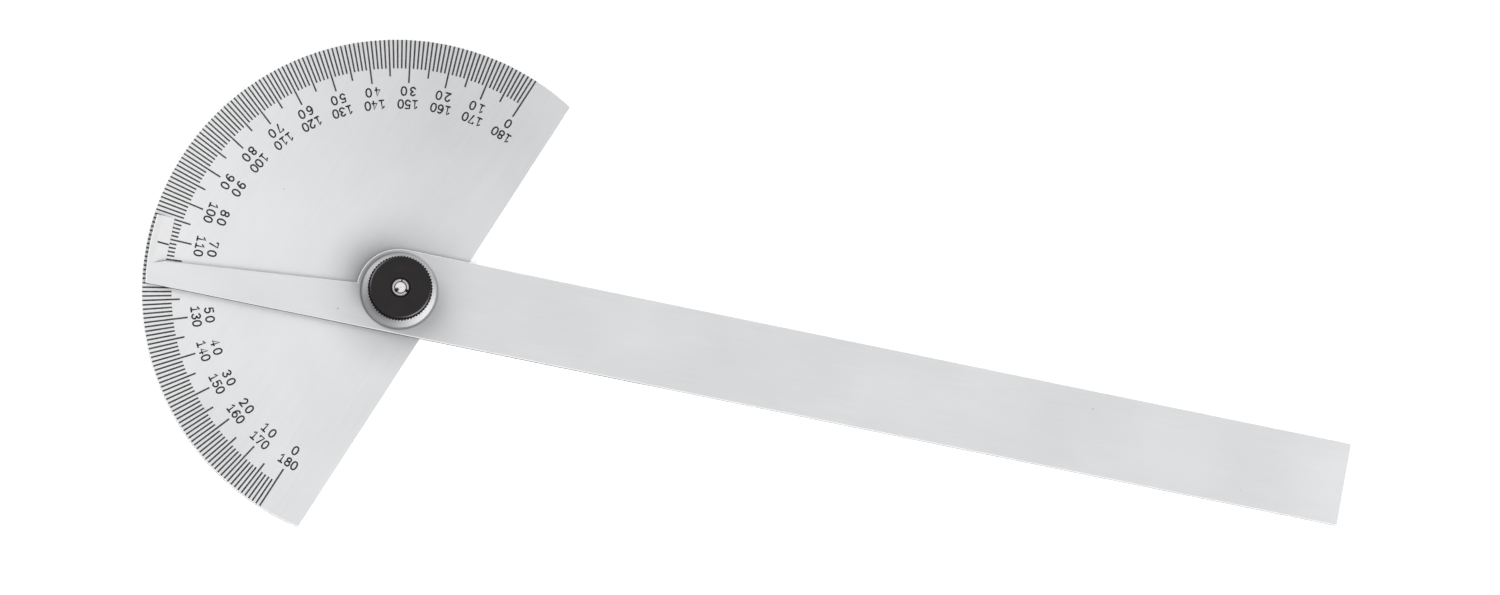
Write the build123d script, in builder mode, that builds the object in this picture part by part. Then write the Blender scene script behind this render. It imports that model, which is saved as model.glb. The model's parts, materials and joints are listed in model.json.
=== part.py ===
from build123d import *
import os
from math import atan2, cos, degrees, radians, sin, sqrt

os.makedirs("parts", exist_ok=True)

# A steel protractor: a half-round head graduated to 180 degrees, and a flat arm that
# turns on it and is clamped by a knurled nut. Sizes are in millimetres. The origin is
# the pivot axis on the head's back, +Z comes out of the graduated face, +X points at
# the outer row's zero and +Y at its ninety.

# Head plate
HEAD_RADIUS = 42.4
BASE_OFFSET = 7.34
HEAD_THICKNESS = 1.2
HEAD_CORNER_RADIUS = 0.4
HEAD_BREAK = 0.2

# Engraved degree marks, measured inwards from the rim
SCALE_DEGREES = 180
DEGREE_MARK_LENGTH = 5.0
FIVE_MARK_LENGTH = 6.35
TEN_MARK_LENGTH = 7.4
MARK_WIDTH = 0.3
MARK_DEPTH = 0.06
MARK_RUN_OUT = 0.5

# Arm, drawn along its own axis: x to the index, y towards higher outer readings
REST_READING = 111.4
ARM_THICKNESS = 1.2
ARM_WIDTH = 14.06
ARM_TAIL = 161.5
POINTER_TAPER = 2.9
ARM_BREAK = 0.15
TAIL_CORNER_RADIUS = 0.3

# Flag at the pointer's tip, with the ground index edge
FLAG_RIM_GAP = 0.7
FLAG_LENGTH = 3.15
FLAG_SIDE_REACH = 4.48
FLAG_CORNER_RADIUS = 0.25
BEVEL_LENGTH = 2.05
BEVEL_FLARE_ANGLE = 17
BEVEL_FLARE_REACH = 1.0
FEATHER_THICKNESS = 0.12
INDEX_LINE_WIDTH = 0.2
INDEX_LINE_DEPTH = 0.05

# Pivot stud, riveted flush into the head plate
STUD_HEAD_RADIUS = 3.3
STUD_SHOULDER_RADIUS = 2.4
STUD_SHOULDER_BELOW_ARM = 0.05
THREAD_RADIUS = 1.4
THREAD_UNDERCUT_DEPTH = 0.15
THREAD_UNDERCUT_LENGTH = 0.4
STUD_STAND_OUT = 0.15
STAKED_GROOVE_INSET = 0.45
STAKED_GROOVE_WIDTH = 0.28
STAKED_GROOVE_DEPTH = 0.22
STUD_END_BREAK = 0.15
STAKE_NOTCH_LENGTH = 0.5
SMALL_STAKE_NOTCH_WIDTH = 0.22
SMALL_STAKE_NOTCH_ANGLE = 21
LARGE_STAKE_NOTCH_WIDTH = 0.5
LARGE_STAKE_NOTCH_ANGLE = 274
PUNCH_MARK_ANGLE = 157
PUNCH_MARK_LENGTH = 0.62
PUNCH_MARK_WIDTH = 0.34
PUNCH_MARK_DEPTH = 0.4

# Dished spring washer
WASHER_RADIUS = 6.4
WASHER_THICKNESS = 0.35
WASHER_DISH = 0.5
WASHER_RIM_LAND = 0.3
WASHER_CROWN_LAND = 1.0

# Knurled clamp nut
NUT_RADIUS = 5.33
NUT_HEIGHT = 4.4
NUT_HUB_HEIGHT = 1.9
NUT_HUB_INSET = 1.1
NUT_TOP_BREAK = 0.3
NUT_TOP_EASE_WIDTH = 0.22
NUT_TOP_EASE_DROP = 0.1
NUT_BOTTOM_BREAK = 0.3
KNURL_TEETH = 64
KNURL_DEPTH = 0.24
NUT_MOUTH_BREAK = 0.25

# Clearances between the pieces, on the radius
ARM_BEARING_CLEARANCE = 0.03
NUT_THREAD_CLEARANCE = 0.04
WASHER_HOLE_CLEARANCE = 0.1

# Levels and places that follow from the sizes above
arm_floor = HEAD_THICKNESS
arm_top = arm_floor + ARM_THICKNESS
washer_top = arm_top + WASHER_DISH + WASHER_THICKNESS
nut_top = washer_top + NUT_HEIGHT
stud_end = nut_top + STUD_STAND_OUT

face_plane = Plane.XY.offset(HEAD_THICKNESS)
back_plane = Plane(origin=(0, 0, 0), x_dir=(1, 0, 0), z_dir=(0, 0, -1))
arm_direction = (cos(radians(REST_READING)), sin(radians(REST_READING)), 0)
arm_plane = Plane(origin=(0, 0, arm_floor), x_dir=arm_direction, z_dir=(0, 0, 1))
index_plane = Plane(arm_plane.origin, x_dir=arm_plane.x_dir, z_dir=-arm_plane.y_dir)
bevel_plane = index_plane.offset(-POINTER_TAPER - BEVEL_FLARE_REACH)

arm_half_width = ARM_WIDTH / 2
flag_radius = HEAD_RADIUS - FLAG_RIM_GAP
flag_far_x = sqrt(flag_radius**2 - FLAG_SIDE_REACH**2)
flag_near_x = sqrt(flag_radius**2 - arm_half_width**2)
flag_edge_x = flag_radius - FLAG_LENGTH
bevel_top_x = flag_edge_x + BEVEL_LENGTH
flag_corner = arm_plane.from_local_coords((flag_edge_x, -FLAG_SIDE_REACH, 0))
notch_corner = arm_plane.from_local_coords((flag_edge_x, POINTER_TAPER, 0))
flare = radians(BEVEL_FLARE_ANGLE)
bevel_end_plane = Plane(
    notch_corner, z_dir=arm_plane.x_dir * sin(flare) - arm_plane.y_dir * cos(flare)
)


# Head plate: a disc cut straight below the 0-180 line
with BuildPart() as head_plate:
    with BuildSketch(Plane.XY):
        Circle(HEAD_RADIUS)
        with Locations((0, -BASE_OFFSET)):
            Rectangle(
                2 * HEAD_RADIUS,
                2 * HEAD_RADIUS,
                align=(Align.CENTER, Align.MIN),
                mode=Mode.INTERSECT,
            )
    extrude(amount=HEAD_THICKNESS)
    fillet(head_plate.edges().filter_by(Axis.Z), HEAD_CORNER_RADIUS)
    head_faces = head_plate.faces().filter_by(Axis.Z)
    chamfer([edge for face in head_faces for edge in face.outer_wire().edges()], HEAD_BREAK)

    # Every tenth, fifth and single degree in turn, so that no two marks overlap
    with BuildSketch(face_plane):
        tens = SCALE_DEGREES // 10
        fives = SCALE_DEGREES // 5
        with PolarLocations(HEAD_RADIUS, tens + 1, 0, SCALE_DEGREES, endpoint=True):
            Rectangle(2 * TEN_MARK_LENGTH, MARK_WIDTH)
        with PolarLocations(HEAD_RADIUS, tens, 5, SCALE_DEGREES):
            Rectangle(2 * FIVE_MARK_LENGTH, MARK_WIDTH)
        for first in range(1, 5):
            with PolarLocations(HEAD_RADIUS, fives, first, SCALE_DEGREES):
                Rectangle(2 * DEGREE_MARK_LENGTH, MARK_WIDTH)
        Circle(HEAD_RADIUS + MARK_RUN_OUT, mode=Mode.INTERSECT)
    extrude(amount=-MARK_DEPTH, mode=Mode.SUBTRACT)

    with Locations(back_plane):
        CounterSinkHole(STUD_SHOULDER_RADIUS, STUD_HEAD_RADIUS, counter_sink_angle=90)
head_plate.part.label = "head_plate"
export_step(head_plate.part, "parts/head_plate.step")


# Arm: a straight tail, a round boss, a tapered pointer and a flag along the rim
with BuildPart() as arm:
    with BuildSketch(arm_plane):
        with BuildLine():
            far_angle = degrees(atan2(-FLAG_SIDE_REACH, flag_far_x))
            near_angle = degrees(atan2(arm_half_width, flag_near_x))
            Polyline(
                (0, -arm_half_width),
                (-ARM_TAIL, -arm_half_width),
                (-ARM_TAIL, arm_half_width),
                (flag_near_x, arm_half_width),
            )
            CenterArc((0, 0), flag_radius, near_angle, far_angle - near_angle)
            Polyline(
                (flag_far_x, -FLAG_SIDE_REACH),
                (flag_edge_x, -FLAG_SIDE_REACH),
                (flag_edge_x, POINTER_TAPER),
                (arm_half_width, 0),
            )
            CenterArc((0, 0), arm_half_width, 0, -90)
        make_face()
        Circle(STUD_SHOULDER_RADIUS + ARM_BEARING_CLEARANCE, mode=Mode.SUBTRACT)
    extrude(amount=ARM_THICKNESS)
    tail_end = arm.edges().filter_by(Axis.Z).sort_by(Axis(arm_plane.origin, arm_plane.x_dir))
    fillet(tail_end[:2], TAIL_CORNER_RADIUS)
    upright_edges = arm.edges().filter_by(Axis.Z)
    fillet(upright_edges.sort_by_distance(flag_corner)[0], FLAG_CORNER_RADIUS)
    top_edges = arm.faces().sort_by(Axis.Z)[-1].outer_wire().edges()
    floor_edges = arm.faces().sort_by(Axis.Z)[0].outer_wire().edges()
    across_arm = Axis(arm_plane.origin, arm_plane.y_dir)
    chamfer(top_edges + floor_edges.filter_by(across_arm, reverse=True), ARM_BREAK)

    # The index edge is ground down to a feather on the scale, and the cut flares out
    # from the notch's corner where the wheel left it
    with BuildPart(mode=Mode.SUBTRACT):
        with BuildSketch(bevel_plane):
            with BuildLine():
                Polyline(
                    (flag_edge_x - ARM_BREAK, FEATHER_THICKNESS),
                    (flag_edge_x, FEATHER_THICKNESS),
                    (bevel_top_x, ARM_THICKNESS),
                    (flag_edge_x - ARM_BREAK, ARM_THICKNESS),
                    close=True,
                )
            make_face()
        extrude(amount=FLAG_SIDE_REACH + POINTER_TAPER + BEVEL_FLARE_REACH)
        split(bisect_by=bevel_end_plane, keep=Keep.TOP)

    # Index line, a groove straight up the bevel on the arm's axis
    with BuildSketch(index_plane):
        with BuildLine():
            Polyline(
                (flag_edge_x - ARM_BREAK, FEATHER_THICKNESS - INDEX_LINE_DEPTH),
                (flag_edge_x, FEATHER_THICKNESS - INDEX_LINE_DEPTH),
                (bevel_top_x, ARM_THICKNESS - INDEX_LINE_DEPTH),
                (bevel_top_x, ARM_THICKNESS),
                (flag_edge_x - ARM_BREAK, ARM_THICKNESS),
                close=True,
            )
        make_face()
    extrude(amount=INDEX_LINE_WIDTH / 2, both=True, mode=Mode.SUBTRACT)
arm.part.label = "arm"
export_step(arm.part, "parts/arm.step")


# Pivot stud: flush countersunk head, bearing shoulder, thread and staked end
with BuildPart() as pivot_stud:
    with BuildSketch(Plane.XZ):
        with BuildLine():
            shoulder_top = arm_top - STUD_SHOULDER_BELOW_ARM
            undercut_top = shoulder_top + THREAD_UNDERCUT_LENGTH
            cone_top = STUD_HEAD_RADIUS - STUD_SHOULDER_RADIUS
            undercut_radius = THREAD_RADIUS - THREAD_UNDERCUT_DEPTH
            groove_radius = THREAD_RADIUS - STAKED_GROOVE_INSET
            Polyline(
                (0, 0),
                (STUD_HEAD_RADIUS, 0),
                (STUD_SHOULDER_RADIUS, cone_top),
                (STUD_SHOULDER_RADIUS, shoulder_top),
                (undercut_radius, shoulder_top),
                (undercut_radius, undercut_top),
                (THREAD_RADIUS, undercut_top + THREAD_UNDERCUT_DEPTH),
                (THREAD_RADIUS, stud_end - STUD_END_BREAK),
                (THREAD_RADIUS - STUD_END_BREAK, stud_end),
                (groove_radius + STAKED_GROOVE_WIDTH / 2, stud_end),
                (groove_radius, stud_end - STAKED_GROOVE_DEPTH),
                (groove_radius - STAKED_GROOVE_WIDTH / 2, stud_end),
                (0, stud_end),
                close=True,
            )
        make_face()
    revolve(axis=Axis.Z)

    # Where the punch slipped: two notches in the rim and one deep mark in the groove
    with BuildSketch(Plane.XY.offset(stud_end)):
        with PolarLocations(THREAD_RADIUS, 1, SMALL_STAKE_NOTCH_ANGLE):
            Rectangle(STAKE_NOTCH_LENGTH * 2, SMALL_STAKE_NOTCH_WIDTH)
        with PolarLocations(THREAD_RADIUS, 1, LARGE_STAKE_NOTCH_ANGLE):
            Rectangle(STAKE_NOTCH_LENGTH * 2, LARGE_STAKE_NOTCH_WIDTH)
    extrude(amount=-STAKED_GROOVE_DEPTH, mode=Mode.SUBTRACT)
    with BuildSketch(Plane.XY.offset(stud_end)):
        with PolarLocations(groove_radius, 1, PUNCH_MARK_ANGLE):
            SlotOverall(PUNCH_MARK_LENGTH, PUNCH_MARK_WIDTH, rotation=90)
    extrude(amount=-PUNCH_MARK_DEPTH, mode=Mode.SUBTRACT)
pivot_stud.part.label = "pivot_stud"
export_step(pivot_stud.part, "parts/pivot_stud.step")


# Dished washer: its rim bears on the arm and its crown under the nut
with BuildPart() as spring_washer:
    with BuildSketch(Plane.XZ):
        with BuildLine():
            washer_hole = THREAD_RADIUS + WASHER_HOLE_CLEARANCE
            Polyline(
                (WASHER_RADIUS, arm_top),
                (WASHER_RADIUS, arm_top + WASHER_THICKNESS),
                (WASHER_RADIUS - WASHER_RIM_LAND, arm_top + WASHER_THICKNESS),
                (washer_hole + WASHER_CROWN_LAND, washer_top),
                (washer_hole, washer_top),
                (washer_hole, washer_top - WASHER_THICKNESS),
                (washer_hole + WASHER_CROWN_LAND, washer_top - WASHER_THICKNESS),
                (WASHER_RADIUS - WASHER_RIM_LAND, arm_top),
                close=True,
            )
        make_face()
    revolve(axis=Axis.Z)
spring_washer.part.label = "spring_washer"
export_step(spring_washer.part, "parts/spring_washer.step")


# Clamp nut: a knurled disc on a plain hub, with an eased top edge and a countersunk mouth
with BuildPart() as clamp_nut:
    with BuildSketch(Plane.XZ):
        with BuildLine():
            nut_hole = THREAD_RADIUS + NUT_THREAD_CLEARANCE
            break_top = nut_top - NUT_TOP_EASE_DROP
            break_radius = NUT_RADIUS - NUT_TOP_BREAK
            hub_radius = NUT_RADIUS - NUT_HUB_INSET
            disc_floor = washer_top + NUT_HUB_HEIGHT
            Polyline(
                (nut_hole, washer_top),
                (hub_radius, washer_top),
                (hub_radius, disc_floor),
                (NUT_RADIUS - NUT_BOTTOM_BREAK, disc_floor),
                (NUT_RADIUS, disc_floor + NUT_BOTTOM_BREAK),
                (NUT_RADIUS, break_top - NUT_TOP_BREAK),
                (break_radius, break_top),
                (break_radius - NUT_TOP_EASE_WIDTH, nut_top),
                (nut_hole + NUT_MOUTH_BREAK, nut_top),
                (nut_hole, nut_top - NUT_MOUTH_BREAK),
                close=True,
            )
        make_face()
    revolve(axis=Axis.Z)
    with BuildSketch(Plane.XY.offset(disc_floor)):
        with PolarLocations(NUT_RADIUS, KNURL_TEETH):
            Rectangle(sqrt(2) * KNURL_DEPTH, sqrt(2) * KNURL_DEPTH, rotation=45)
    extrude(amount=NUT_HEIGHT - NUT_HUB_HEIGHT, mode=Mode.SUBTRACT)
clamp_nut.part.label = "clamp_nut"
export_step(clamp_nut.part, "parts/clamp_nut.step")
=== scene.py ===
"""Looks of the steel protractor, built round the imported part.

The head, arm, stud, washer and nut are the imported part's own nodes, and get their finishes here. What
else shows is modelled here: the paint in the degree marks and in the index line, the engraved numbers,
and the studio. Sizes are in millimetres, and mm() turns them to metres where a mesh or light is made.
The head lies flat with its graduated face up, +X points at the outer row's zero and +Y at its ninety.
"""

import json
import logging
from dataclasses import dataclass, field
from enum import Enum
from math import atan2, cos, radians, sin

import bmesh
import bpy
from mathutils import Matrix, Vector


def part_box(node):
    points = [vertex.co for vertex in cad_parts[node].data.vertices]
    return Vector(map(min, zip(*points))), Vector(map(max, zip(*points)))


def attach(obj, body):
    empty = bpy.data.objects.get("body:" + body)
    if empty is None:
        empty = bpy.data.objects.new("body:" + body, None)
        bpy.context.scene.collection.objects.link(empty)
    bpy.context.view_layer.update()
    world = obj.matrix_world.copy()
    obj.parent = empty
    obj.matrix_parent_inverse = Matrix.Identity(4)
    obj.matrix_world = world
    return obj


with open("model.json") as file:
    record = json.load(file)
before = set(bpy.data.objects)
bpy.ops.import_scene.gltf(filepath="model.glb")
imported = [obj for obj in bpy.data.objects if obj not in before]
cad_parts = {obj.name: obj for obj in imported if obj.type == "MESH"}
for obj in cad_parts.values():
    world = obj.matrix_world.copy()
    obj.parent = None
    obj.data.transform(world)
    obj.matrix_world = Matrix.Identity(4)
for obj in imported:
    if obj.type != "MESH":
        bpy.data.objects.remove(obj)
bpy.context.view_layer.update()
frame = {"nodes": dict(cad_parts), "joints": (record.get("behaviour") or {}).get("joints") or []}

log = logging.getLogger("protractor")

Colour = tuple[float, float, float, float]
ARM_READING = 111.4
WELD_GAP = 0.0002
NOISE_LOW = 0.3
NOISE_HIGH = 0.7


def mm(length: float) -> float:
    """Turns a length in millimetres to metres."""
    return length / 1000


def point_mm(x: float, y: float, z: float) -> Vector:
    """Turns a point in millimetres to metres."""
    return Vector((x, y, z)) / 1000


def linear(hex_colour: str) -> Colour:
    """Turns an sRGB hex colour to the linear values that a shader takes.

    Args:
        hex_colour: Six hex digits, such as "C4C5C5".

    Returns:
        Linear red, green and blue, with an alpha of 1.
    """
    channels = [int(hex_colour[i : i + 2], 16) / 255 for i in (0, 2, 4)]
    red, green, blue = [c / 12.92 if c <= 0.04045 else ((c + 0.055) / 1.055) ** 2.4 for c in channels]
    return red, green, blue, 1.0


def pivot_axis() -> Vector:
    """Gives the place of the arm's pivot axis, in metres."""
    return Vector(frame["joints"][0]["pos_m"])


def add_node(
    tree: bpy.types.NodeTree, kind: str, inputs: dict[str | int, object] | None = None, **settings: object
) -> bpy.types.Node:
    """Adds a node with its settings and links.

    Args:
        tree: The node tree that gets the node.
        kind: The node's type, such as "ShaderNodeTexNoise".
        inputs: Socket names or numbers, each with a value or with the output that feeds it.
        **settings: The node's own properties, such as operation="MULTIPLY".

    Returns:
        The new node.
    """
    node = tree.nodes.new(kind)
    for name, value in settings.items():
        setattr(node, name, value)
    for socket, value in (inputs or {}).items():
        if isinstance(value, bpy.types.NodeSocket):
            tree.links.new(value, node.inputs[socket])
        else:
            node.inputs[socket].default_value = value
    return node


def new_material(name: str) -> tuple[bpy.types.Material, bpy.types.NodeTree, bpy.types.Node]:
    """Starts a material with an empty Principled shader joined to its output.

    Args:
        name: The material's name.

    Returns:
        The material, its node tree and its Principled node.
    """
    material = bpy.data.materials.new(name)
    material.use_nodes = True
    tree = material.node_tree
    tree.nodes.clear()
    shader = add_node(tree, "ShaderNodeBsdfPrincipled")
    add_node(tree, "ShaderNodeOutputMaterial", {"Surface": shader.outputs["BSDF"]})
    return material, tree, shader


def mix_colours(
    tree: bpy.types.NodeTree, share: bpy.types.NodeSocket, first: object, second: object
) -> bpy.types.NodeSocket:
    """Mixes two colours by a share that changes over the surface.

    Args:
        tree: The material's node tree.
        share: The output that gives the second colour's share, from 0 to 1.
        first: A linear colour, or the output that gives it.
        second: A linear colour, or the output that gives it.

    Returns:
        The output that carries the mixed colour.
    """
    mix = add_node(tree, "ShaderNodeMix", {"Factor": share}, data_type="RGBA")
    for socket, colour in ((mix.inputs[6], first), (mix.inputs[7], second)):
        if isinstance(colour, bpy.types.NodeSocket):
            tree.links.new(colour, socket)
        else:
            socket.default_value = colour
    return mix.outputs[2]


class Grain(Enum):
    """How a metal surface was worked, which sets the way its fine scratches run."""

    ALONG_BASE_EDGE = "ground along the head's base edge"
    ALONG_ARM = "ground along the arm"
    ROUND_AXIS = "turned on a lathe"


@dataclass(frozen=True)
class GrainPattern:
    """Fine scratches that run one way, as a noise stretched along them.

    Turned rings close on themselves, so they need no length.
    """

    grain: Grain
    scratch_width: float
    scratch_length: float = 1.0

    def coordinates(self, tree: bpy.types.NodeTree) -> bpy.types.NodeSocket:
        """Gives coordinates that are short across the scratches and long along them.

        Args:
            tree: The material's node tree.

        Returns:
            The output that carries the coordinates, in scratches.
        """
        place = add_node(tree, "ShaderNodeTexCoord").outputs["Object"]
        across = 1 / mm(self.scratch_width)
        along = 1 / mm(self.scratch_length)
        if self.grain is Grain.ROUND_AXIS:
            flat = add_node(tree, "ShaderNodeVectorMath", {0: place, 1: (1, 1, 0)}, operation="MULTIPLY")
            length = add_node(tree, "ShaderNodeVectorMath", {0: flat.outputs[0]}, operation="LENGTH")
            radius = length.outputs["Value"]
            rings = add_node(tree, "ShaderNodeMath", {0: radius, 1: across}, operation="MULTIPLY")
            height = add_node(tree, "ShaderNodeSeparateXYZ", {0: place}).outputs["Z"]
            levels = add_node(tree, "ShaderNodeMath", {0: height, 1: across}, operation="MULTIPLY")
            joined = add_node(tree, "ShaderNodeCombineXYZ", {"X": rings.outputs[0], "Z": levels.outputs[0]})
            return joined.outputs[0]
        angle = ARM_READING if self.grain is Grain.ALONG_ARM else 0.0
        turned = add_node(tree, "ShaderNodeMapping", {"Vector": place, "Rotation": (0, 0, -radians(angle))})
        stretch = {"Vector": turned.outputs[0], "Scale": (along, across, across)}
        return add_node(tree, "ShaderNodeMapping", stretch).outputs[0]

    def scratches(self, tree: bpy.types.NodeTree) -> bpy.types.NodeSocket:
        """Gives the scratches as a value round 0.5 that changes quickly across them."""
        settings = {"Vector": self.coordinates(tree), "Scale": 1.0, "Detail": 3.0, "Roughness": 0.6}
        return add_node(tree, "ShaderNodeTexNoise", settings).outputs["Fac"]


def spread(
    tree: bpy.types.NodeTree, value: bpy.types.NodeSocket, low: float, high: float
) -> bpy.types.NodeSocket:
    """Spreads a noise's middle range over low to high.

    Args:
        tree: The material's node tree.
        value: The noise's output.
        low: What the noise's low end becomes.
        high: What its high end becomes.

    Returns:
        The output that carries the new value.
    """
    ends = {"From Min": NOISE_LOW, "From Max": NOISE_HIGH, "To Min": low, "To Max": high}
    return add_node(tree, "ShaderNodeMapRange", {"Value": value, **ends}).outputs["Result"]


@dataclass(frozen=True)
class RoundShade:
    """A tone that fades with the distance from an upright line through a piece.

    The tone has its full share at radius start and is gone at radius end. It lies inside start where
    start is the smaller of the two, and outside it where start is the larger. The line is the pivot's
    axis, or stands at centre.
    """

    colour: str
    start: float
    end: float
    share: float
    fade: float = 1.0
    centre: tuple[float, float] = (0.0, 0.0)

    def over(self, tree: bpy.types.NodeTree, under: object) -> bpy.types.NodeSocket:
        """Lays the tone over a colour.

        Args:
            tree: The material's node tree.
            under: The colour that gets it.

        Returns:
            The output that carries the new colour.
        """
        return mix_colours(tree, self.amount(tree), under, linear(self.colour))

    def amount(self, tree: bpy.types.NodeTree) -> bpy.types.NodeSocket:
        """Gives the tone's share at each place, from 0 to the full share."""
        place = add_node(tree, "ShaderNodeTexCoord").outputs["Object"]
        flat = add_node(tree, "ShaderNodeVectorMath", {0: place, 1: (1, 1, 0)}, operation="MULTIPLY")
        line = {0: flat.outputs[0], 1: (mm(self.centre[0]), mm(self.centre[1]), 0)}
        radius = add_node(tree, "ShaderNodeVectorMath", line, operation="DISTANCE").outputs["Value"]
        ends = {"From Min": mm(self.start), "From Max": mm(self.end), "To Min": 1, "To Max": 0}
        near = add_node(tree, "ShaderNodeMapRange", {"Value": radius, **ends}).outputs["Result"]
        faded = add_node(tree, "ShaderNodeMath", {0: near, 1: self.fade}, operation="POWER").outputs[0]
        return add_node(tree, "ShaderNodeMath", {0: faded, 1: self.share}, operation="MULTIPLY").outputs[0]


# Tones laid on the chrome: painted shade round the clamp, a painted shadow line round the washer's rim,
# painted shade and painted highlights over the broad faces, and painted shade on the arm's edges over the
# head
# Painted shade round the clamp, where the nut and washer shade the head and the arm
NUT_SHADE_ON_HEAD = RoundShade("4A4B4D", start=7.0, end=15.0, share=0.29, fade=1.6)
NUT_SHADE_ON_ARM = RoundShade("4A4B4D", start=7.0, end=15.0, share=0.15, fade=1.6)
# Painted shadow line on the arm round the washer's rim
WASHER_RIM_SHADOW = RoundShade("38393B", start=6.42, end=6.7, share=0.3)
# Painted shade, darker towards the head's upper right
BROAD_SHADE_ON_HEAD = RoundShade("8E9195", start=8.0, end=62.0, share=0.22, fade=1.8, centre=(35.0, 6.0))
# Painted highlights, lighter towards the flag and towards the tail's end
FLAG_SHEEN = RoundShade("FAFAFB", start=12.0, end=50.0, share=0.22, centre=(-9.4, 42.9))
# Painted shade and a painted dark reflection of the head, on the arm's sheared edges above it
EDGE_SHADE_OVER_HEAD = RoundShade("202122", start=43.0, end=47.0, share=1.0)
TAIL_SHEEN = RoundShade("F4F4F6", start=21.0, end=30.0, share=0.12, fade=1.4, centre=(66.2, -169.0))


class Tilt(Enum):
    """A kind of face on a plate, by the upward part of its normal and how far that may differ."""

    GROUND_BEVEL = (0.88, 0.06)
    BROKEN_CORNER = (0.71, 0.08)
    SHEARED_EDGE = (0.0, 0.35)


@dataclass(frozen=True)
class SatinChrome:
    """Hard chrome plate on steel that was ground one way and then dulled.

    The eye gets an even, cool pale grey with no clear reflection. Streaks along the grain catch the
    light a little more or less than their neighbours, broad clouds of the plating drift across the
    face, and a few tiny pits sit far apart. The shades lay painted shade and painted highlights on the
    top faces. The sheared edges, which were never ground, are a darker grey, as the bare steel and as
    painted shade, and the arm's are painted nearly black where they lie above the head, as painted shade
    and a painted dark reflection of the head. The broken corners and the ground bevel get painted
    highlights.
    """

    name: str
    grain: Grain
    streak_length: float = 9.0
    streak_width: float = 0.22  # The real scratches, near 0.03 mm, are too fine to show, so they are wider
    cloud_size: float = 14.0
    pit_spacing: float = 11.0
    pit_radius: float = 0.16
    dull: str = "C7C8C9"
    bright: str = "D2D3D4"
    pit: str = "8E9092"
    roughness_low: float = 0.5
    roughness_high: float = 0.6
    scratch_depth: float = 0.0006
    metallic: float = 0.5
    # Painted highlights on the ground bevel and on the broken corners
    burnished: str = "DEDEDF"
    rubbed: str = "FCFCFD"
    # Grey of the sheared edges, partly the bare steel and partly painted shade
    sheared: str = "3A3C3E"
    shades: tuple[RoundShade, ...] = ()
    edge_shades: tuple[RoundShade, ...] = ()

    def material(self) -> bpy.types.Material:
        """Builds the material."""
        material, tree, shader = new_material(self.name)
        scratches = GrainPattern(self.grain, self.streak_width, self.streak_length).scratches(tree)
        place = add_node(tree, "ShaderNodeTexCoord").outputs["Object"]
        cloud_noise = {"Vector": place, "Scale": 1 / mm(self.cloud_size), "Detail": 2.0}
        clouds = add_node(tree, "ShaderNodeTexNoise", cloud_noise).outputs["Fac"]
        blend = add_node(tree, "ShaderNodeMath", {0: scratches, 1: clouds}, operation="ADD").outputs[0]
        half = add_node(tree, "ShaderNodeMath", {0: blend, 1: 0.5}, operation="MULTIPLY").outputs[0]
        plate = mix_colours(tree, spread(tree, half, 0, 1), linear(self.dull), linear(self.bright))
        # Painted shade and painted highlights from the shades, kept to the top faces
        shaded = plate
        for shade in self.shades:
            shaded = shade.over(tree, shaded)
        upper = {0: self.face_height(tree), 1: 0.0}
        on_top = add_node(tree, "ShaderNodeMath", upper, operation="GREATER_THAN").outputs[0]
        top_shaded = mix_colours(tree, on_top, plate, shaded)
        pitted = mix_colours(tree, self.pits(tree, place), top_shaded, linear(self.pit))
        # Painted highlights on the ground bevel and the broken corners
        bevel = self.faces(tree, Tilt.GROUND_BEVEL)
        ground = mix_colours(tree, bevel, pitted, linear(self.burnished))
        corners = self.faces(tree, Tilt.BROKEN_CORNER)
        rubbed = mix_colours(tree, corners, ground, linear(self.rubbed))
        sheared = linear(self.sheared)
        for shade in self.edge_shades:
            sheared = shade.over(tree, sheared)
        edged = mix_colours(tree, self.faces(tree, Tilt.SHEARED_EDGE), rubbed, sheared)
        tree.links.new(edged, shader.inputs["Base Color"])
        rough = spread(tree, scratches, self.roughness_low, self.roughness_high)
        tree.links.new(rough, shader.inputs["Roughness"])
        shader.inputs["Metallic"].default_value = self.metallic
        relief = {"Height": scratches, "Strength": 1.0, "Distance": mm(self.scratch_depth)}
        tree.links.new(add_node(tree, "ShaderNodeBump", relief).outputs[0], shader.inputs["Normal"])
        return material

    def face_height(self, tree: bpy.types.NodeTree) -> bpy.types.NodeSocket:
        """Gives the upward part of each face's normal: 1 on the top, 0 on a side and -1 underneath."""
        facing = add_node(tree, "ShaderNodeTexCoord").outputs["Normal"]
        return add_node(tree, "ShaderNodeSeparateXYZ", {0: facing}).outputs["Z"]

    def faces(self, tree: bpy.types.NodeTree, tilt: Tilt) -> bpy.types.NodeSocket:
        """Picks out one kind of face, on the top and underneath.

        Args:
            tree: The material's node tree.
            tilt: The kind of face.

        Returns:
            The output that is 1 on those faces and 0 elsewhere.
        """
        upward, play = tilt.value
        height = {0: self.face_height(tree)}
        steep = add_node(tree, "ShaderNodeMath", height, operation="ABSOLUTE").outputs[0]
        compared = {0: steep, 1: upward, 2: play}
        return add_node(tree, "ShaderNodeMath", compared, operation="COMPARE").outputs[0]

    def pits(self, tree: bpy.types.NodeTree, place: bpy.types.NodeSocket) -> bpy.types.NodeSocket:
        """Gives tiny round pits, far apart.

        Args:
            tree: The material's node tree.
            place: The output that carries the object coordinates.

        Returns:
            The output that is 1 in a pit and 0 elsewhere.
        """
        cells = {"Vector": place, "Scale": 1 / mm(self.pit_spacing)}
        distance = add_node(tree, "ShaderNodeTexVoronoi", cells).outputs["Distance"]
        edge = self.pit_radius / self.pit_spacing
        fade = {"Value": distance, "From Min": edge / 2, "From Max": edge, "To Min": 1, "To Max": 0}
        return add_node(tree, "ShaderNodeMapRange", fade).outputs["Result"]


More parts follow.
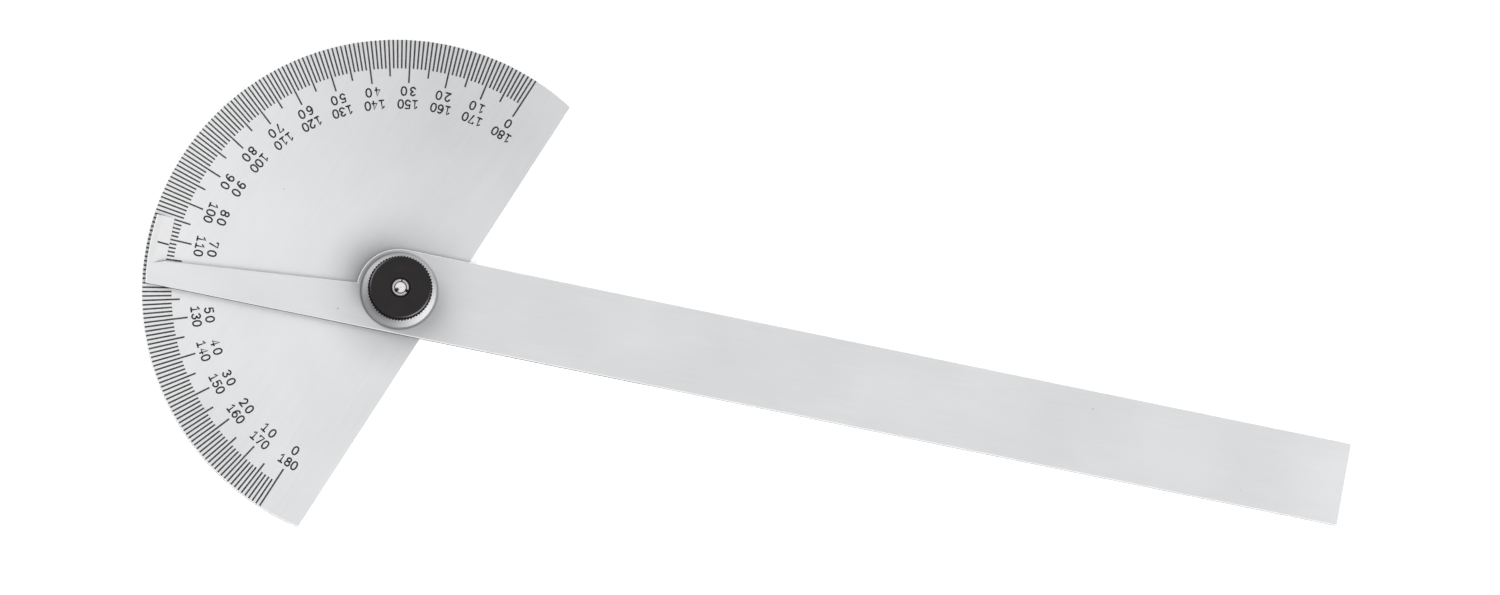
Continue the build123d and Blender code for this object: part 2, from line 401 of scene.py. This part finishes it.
@dataclass(frozen=True)
class BrightNickel:
    """Bright nickel plate on a stamped washer.

    The eye gets soft light and dark round the dish, painted shade on the side that the nut shades, and
    a thin painted shadow line where the rim meets the arm.
    """

    name: str = "bright_nickel_plate"
    ring_width: float = 0.25  # The real rings are near 0.05 mm, too fine to show, so they are wider
    dull: str = "BEBEC0"
    bright: str = "D0D0D2"
    roughness_low: float = 0.4
    roughness_high: float = 0.5
    # Painted shadow line round the rim, where it meets the arm
    dirty_rim: RoundShade = RoundShade("2C2C2E", start=6.38, end=6.2, share=0.55)
    # Painted shade on the side of the washer that the nut shades
    oily_side: RoundShade = RoundShade("4A4B4D", start=3.0, end=9.0, share=0.42, centre=(-6.3, 0.9))

    def material(self) -> bpy.types.Material:
        """Builds the material."""
        material, tree, shader = new_material(self.name)
        rings = GrainPattern(Grain.ROUND_AXIS, self.ring_width).scratches(tree)
        colour = mix_colours(tree, spread(tree, rings, 0, 1), linear(self.dull), linear(self.bright))
        side_shaded = self.oily_side.over(tree, colour)
        tree.links.new(self.dirty_rim.over(tree, side_shaded), shader.inputs["Base Color"])
        rough = spread(tree, rings, self.roughness_low, self.roughness_high)
        tree.links.new(rough, shader.inputs["Roughness"])
        shader.inputs["Metallic"].default_value = 1.0
        return material


@dataclass(frozen=True)
class TurnedSteel:
    """Bare steel, turned and then struck flat at its end.

    The eye gets a bright spot with fine rings, among the darkest parts of the tool. Near the struck end it
    is painted darker towards the end's edge, down in its notches and in a spot at the punch mark. Away from
    the struck end none of this is painted.
    """

    name: str = "turned_steel"
    ring_width: float = 0.12  # The real rings are near 0.05 mm, too fine to show, so they are wider
    dull: str = "EAE9E8"
    bright: str = "FBFBFA"
    roughness_low: float = 0.18
    roughness_high: float = 0.34
    ring_depth: float = 0.002
    dirt: str = "1A1A1B"
    clean_depth: float = 0.03
    dirty_depth: float = 0.2
    worked_length: float = 0.6
    # Darker towards the edge of the struck end
    hammered: RoundShade = RoundShade("77777A", start=1.1, end=0.8, share=0.4)
    punched: RoundShade = RoundShade("0A0A0B", start=0.2, end=0.42, share=0.95, centre=(-0.62, 0.27))
    metallic: float = 0.4

    def material(self, end_height: float) -> bpy.types.Material:
        """Builds the material.

        Args:
            end_height: Height of the struck end, in metres.

        Returns:
            The material.
        """
        material, tree, shader = new_material(self.name)
        rings = GrainPattern(Grain.ROUND_AXIS, self.ring_width).scratches(tree)
        turned = mix_colours(tree, spread(tree, rings, 0, 1), linear(self.dull), linear(self.bright))
        place = add_node(tree, "ShaderNodeTexCoord").outputs["Object"]
        height = add_node(tree, "ShaderNodeSeparateXYZ", {0: place}).outputs["Z"]
        # Darker down in the notches of the struck end
        low = end_height - mm(self.dirty_depth)
        high = end_height - mm(self.clean_depth)
        fade = {"Value": height, "From Min": low, "From Max": high, "To Min": 1, "To Max": 0}
        depth = add_node(tree, "ShaderNodeMapRange", fade).outputs["Result"]
        struck = self.punched.over(tree, self.hammered.over(tree, turned))
        darkened = mix_colours(tree, depth, struck, linear(self.dirt))
        worked = {0: height, 1: end_height - mm(self.worked_length)}
        at_end = add_node(tree, "ShaderNodeMath", worked, operation="GREATER_THAN").outputs[0]
        colour = mix_colours(tree, at_end, turned, darkened)
        tree.links.new(colour, shader.inputs["Base Color"])
        rough = spread(tree, rings, self.roughness_low, self.roughness_high)
        tree.links.new(rough, shader.inputs["Roughness"])
        shader.inputs["Metallic"].default_value = self.metallic
        relief = {"Height": rings, "Strength": 1.0, "Distance": mm(self.ring_depth)}
        tree.links.new(add_node(tree, "ShaderNodeBump", relief).outputs[0], shader.inputs["Normal"])
        return material


@dataclass(frozen=True)
class BlackOxide:
    """Black oxide on a turned and knurled steel nut.

    The eye gets a soft charcoal with faint turning rings, patches of brown and specks of bluish grey,
    and a glint where the top's edge is broken. The knurled rim and its chamfer are painted near black as
    painted shade, and are dull.
    """

    name: str = "black_oxide"
    ring_width: float = 0.2  # The real rings are near 0.05 mm, too fine to show, so they are wider
    patch_size: float = 2.6
    speck_size: float = 0.22
    speck_share: tuple[float, float] = (-0.6, 0.5)
    charcoal: str = "1F1F21"
    brown: str = "282321"
    worn: str = "28272A"
    roughness_low: float = 0.26
    roughness_high: float = 0.36
    ring_depth: float = 0.003
    specular: float = 0.25
    knurl_roughness: float = 0.95
    # Painted shade, near black, over the knurled rim and its chamfer
    knurl: RoundShade = RoundShade("020202", start=5.09, end=5.03, share=1.0)
    worn_edge: RoundShade = RoundShade("4A494B", start=4.87, end=4.84, share=1.0)

    def material(self) -> bpy.types.Material:
        """Builds the material."""
        material, tree, shader = new_material(self.name)
        rings = GrainPattern(Grain.ROUND_AXIS, self.ring_width).scratches(tree)
        place = add_node(tree, "ShaderNodeTexCoord").outputs["Object"]
        patch_noise = {"Vector": place, "Scale": 1 / mm(self.patch_size), "Detail": 3.0}
        patches = add_node(tree, "ShaderNodeTexNoise", patch_noise).outputs["Fac"]
        speck_noise = {"Vector": place, "Scale": 1 / mm(self.speck_size), "Detail": 1.0}
        specks = add_node(tree, "ShaderNodeTexNoise", speck_noise).outputs["Fac"]
        base = mix_colours(tree, spread(tree, patches, 0, 1), linear(self.charcoal), linear(self.brown))
        specked = mix_colours(tree, spread(tree, specks, *self.speck_share), base, linear(self.worn))
        colour = self.knurl.over(tree, self.worn_edge.over(tree, specked))
        tree.links.new(colour, shader.inputs["Base Color"])
        knurled = self.knurl.amount(tree)
        worn_through = {0: self.worn_edge.amount(tree), 1: knurled}
        bare = add_node(tree, "ShaderNodeMath", worn_through, operation="SUBTRACT").outputs[0]
        tree.links.new(bare, shader.inputs["Metallic"])
        smooth = spread(tree, rings, self.roughness_low, self.roughness_high)
        rough = add_node(tree, "ShaderNodeMix", {"Factor": knurled, "A": smooth, "B": self.knurl_roughness})
        tree.links.new(rough.outputs[0], shader.inputs["Roughness"])
        shader.inputs["Specular IOR Level"].default_value = self.specular
        relief = {"Height": rings, "Strength": 1.0, "Distance": mm(self.ring_depth)}
        tree.links.new(add_node(tree, "ShaderNodeBump", relief).outputs[0], shader.inputs["Normal"])
        return material


@dataclass(frozen=True)
class EngravingPaint:
    """Black enamel wiped into engraving, so that it stays only in the cuts.

    The eye gets a dull near-black that thins to dark grey in places where the wiping took more.
    """

    name: str
    full: str = "0B0B0C"
    thin: str = "222325"
    wipe_size: float = 1.1
    roughness: float = 0.6

    def material(self) -> bpy.types.Material:
        """Builds the material."""
        material, tree, shader = new_material(self.name)
        place = add_node(tree, "ShaderNodeTexCoord").outputs["Object"]
        wipe_noise = {"Vector": place, "Scale": 1 / mm(self.wipe_size), "Detail": 2.0}
        wiping = add_node(tree, "ShaderNodeTexNoise", wipe_noise).outputs["Fac"]
        colour = mix_colours(tree, spread(tree, wiping, 0, 1), linear(self.full), linear(self.thin))
        tree.links.new(colour, shader.inputs["Base Color"])
        shader.inputs["Roughness"].default_value = self.roughness
        return material


@dataclass(frozen=True)
class PaperSweep:
    """Matt white background paper, with a very faint tooth."""

    name: str = "white_paper"
    tooth_size: float = 3.0
    low: str = "F3F3F4"
    high: str = "F9F9F9"
    roughness: float = 0.9
    glow: float = 0.4

    def material(self) -> bpy.types.Material:
        """Builds the material."""
        material, tree, shader = new_material(self.name)
        shader.inputs["Emission Color"].default_value = linear("FFFFFF")
        shader.inputs["Emission Strength"].default_value = self.glow
        place = add_node(tree, "ShaderNodeTexCoord").outputs["Object"]
        tooth_noise = {"Vector": place, "Scale": 1 / mm(self.tooth_size), "Detail": 1.0}
        tooth = add_node(tree, "ShaderNodeTexNoise", tooth_noise).outputs["Fac"]
        colour = mix_colours(tree, spread(tree, tooth, 0, 1), linear(self.low), linear(self.high))
        tree.links.new(colour, shader.inputs["Base Color"])
        shader.inputs["Roughness"].default_value = self.roughness
        return material


def finish_piece(shape: bmesh.types.BMesh, name: str, material: bpy.types.Material) -> bpy.types.Object:
    """Turns a bmesh to a piece of the scene, with its place in its mesh.

    Args:
        shape: The finished shape, in metres. It is freed.
        name: The piece's name.
        material: The piece's finish.

    Returns:
        The new object, at the origin.
    """
    bmesh.ops.remove_doubles(shape, verts=shape.verts, dist=mm(WELD_GAP))
    bmesh.ops.recalc_face_normals(shape, faces=shape.faces)
    mesh = bpy.data.meshes.new(name)
    shape.to_mesh(mesh)
    shape.free()
    mesh.materials.append(material)
    piece = bpy.data.objects.new(name, mesh)
    bpy.context.scene.collection.objects.link(piece)
    return piece


def dress_node(node: str, material: bpy.types.Material) -> None:
    """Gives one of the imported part's own nodes its finish.

    Args:
        node: The node's name.
        material: The finish.
    """
    mesh = frame["nodes"][node].data
    mesh.materials.clear()
    mesh.materials.append(material)
    log.info("%s: dressed in %s", node, material.name)


@dataclass(frozen=True)
class Stroke:
    """One pass of the cutter, in shares of a digit's width and height from the middle of its foot."""

    points: tuple[tuple[float, float], ...]
    curved: bool = False
    closed: bool = False

    def turned(self) -> "Stroke":
        """Gives the same pass with the digit upside down."""
        return Stroke(tuple((-x, 1 - y) for x, y in self.points), self.curved, self.closed)


SIX = (
    Stroke(
        ((0.38, 0.93), (0.02, 1), (-0.4, 0.66), (-0.46, 0.3), (0, 0), (0.46, 0.3), (0, 0.6), (-0.42, 0.4)),
        curved=True,
    ),
)
DIGITS = {
    "0": (Stroke(((0, 1), (-0.5, 0.5), (0, 0), (0.5, 0.5)), True, True),),
    "1": (Stroke(((-0.36, 0.78), (0.02, 1), (0.02, 0))), Stroke(((-0.4, 0), (0.42, 0)))),
    "2": (
        Stroke(((-0.45, 0.77), (-0.02, 1), (0.43, 0.74), (0.18, 0.4), (-0.46, 0.02)), True),
        Stroke(((-0.46, 0), (0.48, 0))),
    ),
    "3": (
        Stroke(((-0.42, 0.86), (0, 1), (0.4, 0.77), (-0.02, 0.54)), True),
        Stroke(((-0.02, 0.54), (0.46, 0.28), (0, 0), (-0.46, 0.17)), True),
    ),
    "4": (Stroke(((0.2, 0), (0.2, 1), (-0.47, 0.28), (0.47, 0.28))),),
    "5": (
        Stroke(((0.4, 1), (-0.34, 1), (-0.38, 0.54))),
        Stroke(((-0.38, 0.54), (0.04, 0.63), (0.46, 0.32), (0, 0), (-0.46, 0.16)), True),
    ),
    "6": SIX,
    "7": (Stroke(((-0.45, 0.84), (-0.45, 1), (0.45, 1), (-0.1, 0))),),
    "8": (
        Stroke(((0, 1), (-0.4, 0.77), (0, 0.54), (0.4, 0.77)), True, True),
        Stroke(((0, 0.54), (-0.47, 0.27), (0, 0), (0.47, 0.27)), True, True),
    ),
    "9": tuple(stroke.turned() for stroke in SIX),
}


@dataclass
class ScaleNumbers:
    """The two rows of engraved and blackened numbers, read with their tops towards the pivot."""

    digit_height: float = 1.66
    digit_width: float = 1.12
    stroke_width: float = 0.28
    paint_height: float = 0.007
    outer_row_radius: float = 33.6
    inner_row_radius: float = 31.4
    pair_pitch: float = 1.5
    triple_pitch: float = 1.18
    step: int = 10
    curve_steps: int = 5
    nib_sides: int = 10
    nib_rings: int = 4

    def digit_mesh(self, digit: str) -> bpy.types.Mesh:
        """Makes one digit as beads of paint that follow the cutter's strokes.

        Args:
            digit: The digit's character.

        Returns:
            The digit's mesh, flat on z 0 and centred on the origin, in metres.
        """
        curve = bpy.data.curves.new(f"digit_{digit}", "CURVE")
        curve.dimensions = "3D"
        curve.bevel_depth = mm(self.stroke_width / 2)
        curve.bevel_resolution = 1
        curve.resolution_u = self.curve_steps
        curve.use_fill_caps = True
        shape = bmesh.new()
        for stroke in DIGITS[digit]:
            path = [self.place(x, y) for x, y in stroke.points]
            line = curve.splines.new("BEZIER")
            line.bezier_points.add(len(path) - 1)
            for knot, spot in zip(line.bezier_points, path):
                knot.co = spot
            for knot in line.bezier_points:
                knot.handle_left_type = knot.handle_right_type = "AUTO" if stroke.curved else "VECTOR"
            line.use_cyclic_u = stroke.closed
            for spot in [] if stroke.closed else (path[0], path[-1]):
                bmesh.ops.create_uvsphere(
                    shape,
                    u_segments=self.nib_sides,
                    v_segments=self.nib_rings,
                    radius=mm(self.stroke_width / 2),
                    matrix=Matrix.Translation(spot),
                )
        holder = bpy.data.objects.new(curve.name, curve)
        bpy.context.scene.collection.objects.link(holder)
        bpy.context.view_layer.update()
        graph = bpy.context.evaluated_depsgraph_get()
        strokes = bpy.data.meshes.new_from_object(holder.evaluated_get(graph))
        bpy.data.objects.remove(holder)
        shape.from_mesh(strokes)
        flatten = self.paint_height / (self.stroke_width / 2)
        bmesh.ops.scale(shape, vec=(1, 1, flatten), verts=shape.verts)
        mesh = bpy.data.meshes.new(curve.name)
        shape.to_mesh(mesh)
        shape.free()
        return mesh

    def place(self, x: float, y: float) -> Vector:
        """Turns a stroke's shares of width and height to a point in metres.

        Args:
            x: Share of the width, from the digit's middle.
            y: Share of the height, from the digit's foot.

        Returns:
            The point, with the digit's centre at the origin.
        """
        width = self.digit_width - self.stroke_width
        height = self.digit_height - self.stroke_width
        return point_mm(x * width, (y - 0.5) * height, 0)

    def build(self, axis: Vector, face: float, degrees: int, finish: EngravingPaint) -> bpy.types.Object:
        """Sets out both rows of numbers.

        Args:
            axis: The pivot axis's place on the head, in metres.
            face: Height of the graduated face, in metres.
            degrees: What the scale reads up to.
            finish: The paint.

        Returns:
            The numbers as one piece.
        """
        meshes = {digit: self.digit_mesh(digit) for digit in DIGITS}
        shape = bmesh.new()
        for degree in range(0, degrees + 1, self.step):
            rows = ((self.outer_row_radius, degree), (self.inner_row_radius, degrees - degree))
            for radius, value in rows:
                text = str(value)
                pitch = self.triple_pitch if len(text) > 2 else self.pair_pitch
                ray = radians(degree)
                centre = Vector((axis.x + mm(radius) * cos(ray), axis.y + mm(radius) * sin(ray), face))
                label = Matrix.Translation(centre) @ Matrix.Rotation(radians(degree + 90), 4, "Z")
                for place, digit in enumerate(text):
                    shift = mm(pitch * (place - (len(text) - 1) / 2))
                    first = len(shape.verts)
                    shape.from_mesh(meshes[digit])
                    shape.verts.ensure_lookup_table()
                    matrix = label @ Matrix.Translation((shift, 0, 0))
                    bmesh.ops.transform(shape, matrix=matrix, verts=shape.verts[first:])
        return finish_piece(shape, "scale_numbers", finish.material())


@dataclass
class GraduatedHead:
    """The half-round head plate with its marks and numbers."""

    degrees: int = 180
    middle_step: int = 5
    long_step: int = 10
    degree_mark: float = 5.0
    five_mark: float = 6.35
    ten_mark: float = 7.4
    paint_width: float = 0.24
    mark_depth: float = 0.06
    paint_below_face: float = 0.012
    rim_break: float = 0.2
    numbers: ScaleNumbers = field(default_factory=ScaleNumbers)
    chrome: SatinChrome = SatinChrome(
        "satin_chrome_head",
        Grain.ALONG_BASE_EDGE,
        dull="CECFD0",
        bright="D8D9DA",
        shades=(BROAD_SHADE_ON_HEAD, FLAG_SHEEN, NUT_SHADE_ON_HEAD),
    )
    mark_enamel: EngravingPaint = EngravingPaint("thin_black_enamel", full="1C1C1D", thin="404143")
    number_enamel: EngravingPaint = EngravingPaint("black_enamel")

    def mark_length(self, degree: int) -> float:
        """Gives the length of the mark at a degree, in millimetres."""
        if degree % self.long_step == 0:
            return self.ten_mark
        return self.five_mark if degree % self.middle_step == 0 else self.degree_mark

    def mark_paint(self, axis: Vector, rim: float, face: float) -> bpy.types.Object:
        """Fills each engraved mark with paint that has shrunk off its sides.

        The paint runs from the mark's inner end to the rim's broken corner.

        Args:
            axis: The pivot axis's place on the head, in metres.
            rim: The head's radius, in metres.
            face: Height of the graduated face, in metres.

        Returns:
            The paint of all marks as one piece.
        """
        shape = bmesh.new()
        top = face - mm(self.paint_below_face)
        floor = face - mm(self.mark_depth)
        outer = rim - mm(self.rim_break)
        for degree in range(self.degrees + 1):
            inner = rim - mm(self.mark_length(degree))
            size = (outer - inner, mm(self.paint_width), top - floor)
            bar = (
                Matrix.Translation((axis.x, axis.y, 0))
                @ Matrix.Rotation(radians(degree), 4, "Z")
                @ Matrix.Translation(((inner + outer) / 2, 0, (top + floor) / 2))
                @ Matrix.Diagonal((*size, 1))
            )
            bmesh.ops.create_cube(shape, size=1, matrix=bar)
        return finish_piece(shape, "mark_paint", self.mark_enamel.material())

    def build(self) -> None:
        """Dresses the plate, and adds the paint and the numbers."""
        low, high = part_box("head_plate")
        axis = pivot_axis()
        rim = high.y - axis.y
        dress_node("head_plate", self.chrome.material())
        for piece in (
            self.mark_paint(axis, rim, high.z),
            self.numbers.build(axis, high.z, self.degrees, self.number_enamel),
        ):
            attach(piece, "head")
            log.info("%s: %d faces", piece.name, len(piece.data.polygons))


@dataclass
class SwingArm:
    """The arm, with the dark fill of its index line."""

    rim_gap: float = 0.7
    flag_length: float = 3.15
    bevel_length: float = 2.05
    feather: float = 0.12
    line_width: float = 0.27
    line_depth: float = 0.05
    line_margin: float = 0.2
    paint_above_bevel: float = 0.004
    chrome: SatinChrome = SatinChrome(
        "satin_chrome_arm",
        Grain.ALONG_ARM,
        sheared="9C9EA0",
        shades=(FLAG_SHEEN, TAIL_SHEEN, NUT_SHADE_ON_ARM, WASHER_RIM_SHADOW),
        edge_shades=(EDGE_SHADE_OVER_HEAD,),
    )
    paint: EngravingPaint = EngravingPaint("index_enamel", full="0C0C0D", thin="1C1C1E")

    def index_paint(self, axis: Vector, rim: float, low: float, high: float) -> bpy.types.Object:
        """Fills the index line that runs up the middle of the bevel.

        The paint lies a little proud of the bevel and laps over the line's sides, so that it stays dark.

        Args:
            axis: The pivot axis's place on the head, in metres.
            rim: The head's radius, in metres.
            low: Height of the arm's underside, in metres.
            high: Height of its top, in metres.

        Returns:
            The fill.
        """
        foot_x = rim - mm(self.rim_gap + self.flag_length)
        foot = Vector((foot_x, 0, low + mm(self.feather)))
        head = Vector((foot_x + mm(self.bevel_length), 0, high))
        run = head - foot
        slope = atan2(run.z, run.x)
        thickness = mm(self.line_depth + self.paint_above_bevel)
        depth = thickness / 2 - mm(self.paint_above_bevel)
        normal = Vector((-sin(slope), 0, cos(slope)))
        middle = (foot + head) / 2 - normal * depth
        size = (run.length - mm(self.line_margin), mm(self.line_width), thickness)
        bar = (
            Matrix.Translation((axis.x, axis.y, 0))
            @ Matrix.Rotation(radians(ARM_READING), 4, "Z")
            @ Matrix.Translation(middle)
            @ Matrix.Rotation(-slope, 4, "Y")
            @ Matrix.Diagonal((*size, 1))
        )
        shape = bmesh.new()
        bmesh.ops.create_cube(shape, size=1, matrix=bar)
        return finish_piece(shape, "index_line_paint", self.paint.material())

    def build(self) -> None:
        """Dresses the arm and fills its index line."""
        low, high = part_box("arm")
        axis = pivot_axis()
        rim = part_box("head_plate")[1].y - axis.y
        dress_node("arm", self.chrome.material())
        piece = self.index_paint(axis, rim, low.z, high.z)
        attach(piece, "arm")
        log.info("%s: %d faces", piece.name, len(piece.data.polygons))


@dataclass
class ClampStack:
    """The stud, the dished washer and the knurled nut that clamp the arm."""

    steel: TurnedSteel = TurnedSteel()
    nickel: BrightNickel = BrightNickel()
    oxide: BlackOxide = BlackOxide()

    def build(self) -> None:
        """Dresses the three pieces."""
        dress_node("pivot_stud", self.steel.material(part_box("pivot_stud")[1].z))
        dress_node("spring_washer", self.nickel.material())
        dress_node("clamp_nut", self.oxide.material())


@dataclass(frozen=True)
class Softbox:
    """A square softbox that faces the tool, placed by its direction from the pivot."""

    name: str
    angle: float
    height: float
    power: float
    distance: float = 6000.0
    side: float = 4000.0

    def build(self) -> None:
        """Hangs the softbox."""
        lamp = bpy.data.lights.new(self.name, "AREA")
        lamp.shape = "SQUARE"
        lamp.size = mm(self.side)
        lamp.energy = self.power
        around = radians(self.angle)
        up = radians(self.height)
        ray = Vector((cos(around) * cos(up), sin(around) * cos(up), sin(up)))
        softbox = bpy.data.objects.new(self.name, lamp)
        place = Matrix.Translation(ray * mm(self.distance))
        softbox.matrix_world = place @ ray.to_track_quat("Z", "Y").to_matrix().to_4x4()
        bpy.context.scene.collection.objects.link(softbox)


@dataclass
class Studio:
    """White paper, a light tent with two softboxes, and the camera that looks down on the tool."""

    floor_side: float = 8000.0
    floor_gap: float = 0.02
    floor_cells: int = 8
    image_right_angle: float = -56.94
    camera_lean: float = 9.01
    camera_lean_angle: float = 169.81
    camera_distance: float = 943.1
    camera_near: float = 20.0
    camera_far: float = 20000.0
    aim: tuple[float, float, float] = (31.10, -49.50, 1.2)
    lens: float = 135.9
    sensor_width: float = 36.0
    roof_light: float = 0.32
    wall_light: float = 0.325
    key: Softbox = Softbox("softbox_lower_right", angle=262.0, height=54.0, power=268.0)
    fill: Softbox = Softbox("softbox_upper_left", angle=80.0, height=47.0, power=165.0)
    paper: PaperSweep = PaperSweep()

    def floor(self) -> None:
        """Lays the paper just under the tool."""
        shape = bmesh.new()
        bmesh.ops.create_grid(
            shape,
            x_segments=self.floor_cells,
            y_segments=self.floor_cells,
            size=mm(self.floor_side) / 2,
            matrix=Matrix.Translation((0, 0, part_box("head_plate")[0].z - mm(self.floor_gap))),
        )
        floor = finish_piece(shape, "paper_floor", self.paper.material())

    def tent(self) -> None:
        """Lights the tool from all round, a little more from the walls than from the roof."""
        world = bpy.data.worlds.new("light_tent")
        world.use_nodes = True
        tree = world.node_tree
        tree.nodes.clear()
        direction = add_node(tree, "ShaderNodeTexCoord").outputs["Generated"]
        height = add_node(tree, "ShaderNodeSeparateXYZ", {0: direction}).outputs["Z"]
        ends = {"From Min": 0, "From Max": 1, "To Min": self.wall_light, "To Max": self.roof_light}
        rise = {"Value": height, **ends}
        tent = add_node(tree, "ShaderNodeMapRange", rise, interpolation_type="SMOOTHSTEP")
        light = {"Color": linear("FFFFFF"), "Strength": tent.outputs["Result"]}
        glow = add_node(tree, "ShaderNodeBackground", light)
        add_node(tree, "ShaderNodeOutputWorld", {"Surface": glow.outputs[0]})
        bpy.context.scene.world = world

    def camera(self) -> None:
        """Puts the camera where the photograph was taken from."""
        lean = radians(self.camera_lean)
        around = radians(self.camera_lean_angle)
        back = Vector((sin(lean) * cos(around), sin(lean) * sin(around), cos(lean)))
        across = radians(self.image_right_angle)
        right = Vector((cos(across), sin(across), 0))
        right = (right - back * right.dot(back)).normalized()
        up = back.cross(right)
        turn = Matrix((right, up, back)).transposed().to_4x4()
        camera = bpy.data.objects.new("camera", bpy.data.cameras.new("camera"))
        camera.data.lens = self.lens
        camera.data.sensor_fit = "HORIZONTAL"
        camera.data.sensor_width = self.sensor_width
        camera.data.clip_start = mm(self.camera_near)
        camera.data.clip_end = mm(self.camera_far)
        place = point_mm(*self.aim) + back * mm(self.camera_distance)
        camera.matrix_world = Matrix.Translation(place) @ turn
        bpy.context.scene.collection.objects.link(camera)
        bpy.context.scene.camera = camera

    def build(self) -> None:
        """Sets up the floor, the light and the camera."""
        self.floor()
        self.tent()
        self.key.build()
        self.fill.build()
        self.camera()
        bpy.context.scene.view_settings.view_transform = "Standard"


def main() -> None:
    """Builds the looks in order."""
    logging.basicConfig(level=logging.INFO, format="%(message)s")
    GraduatedHead().build()
    SwingArm().build()
    ClampStack().build()
    Studio().build()


if __name__ == "__main__":
    main()
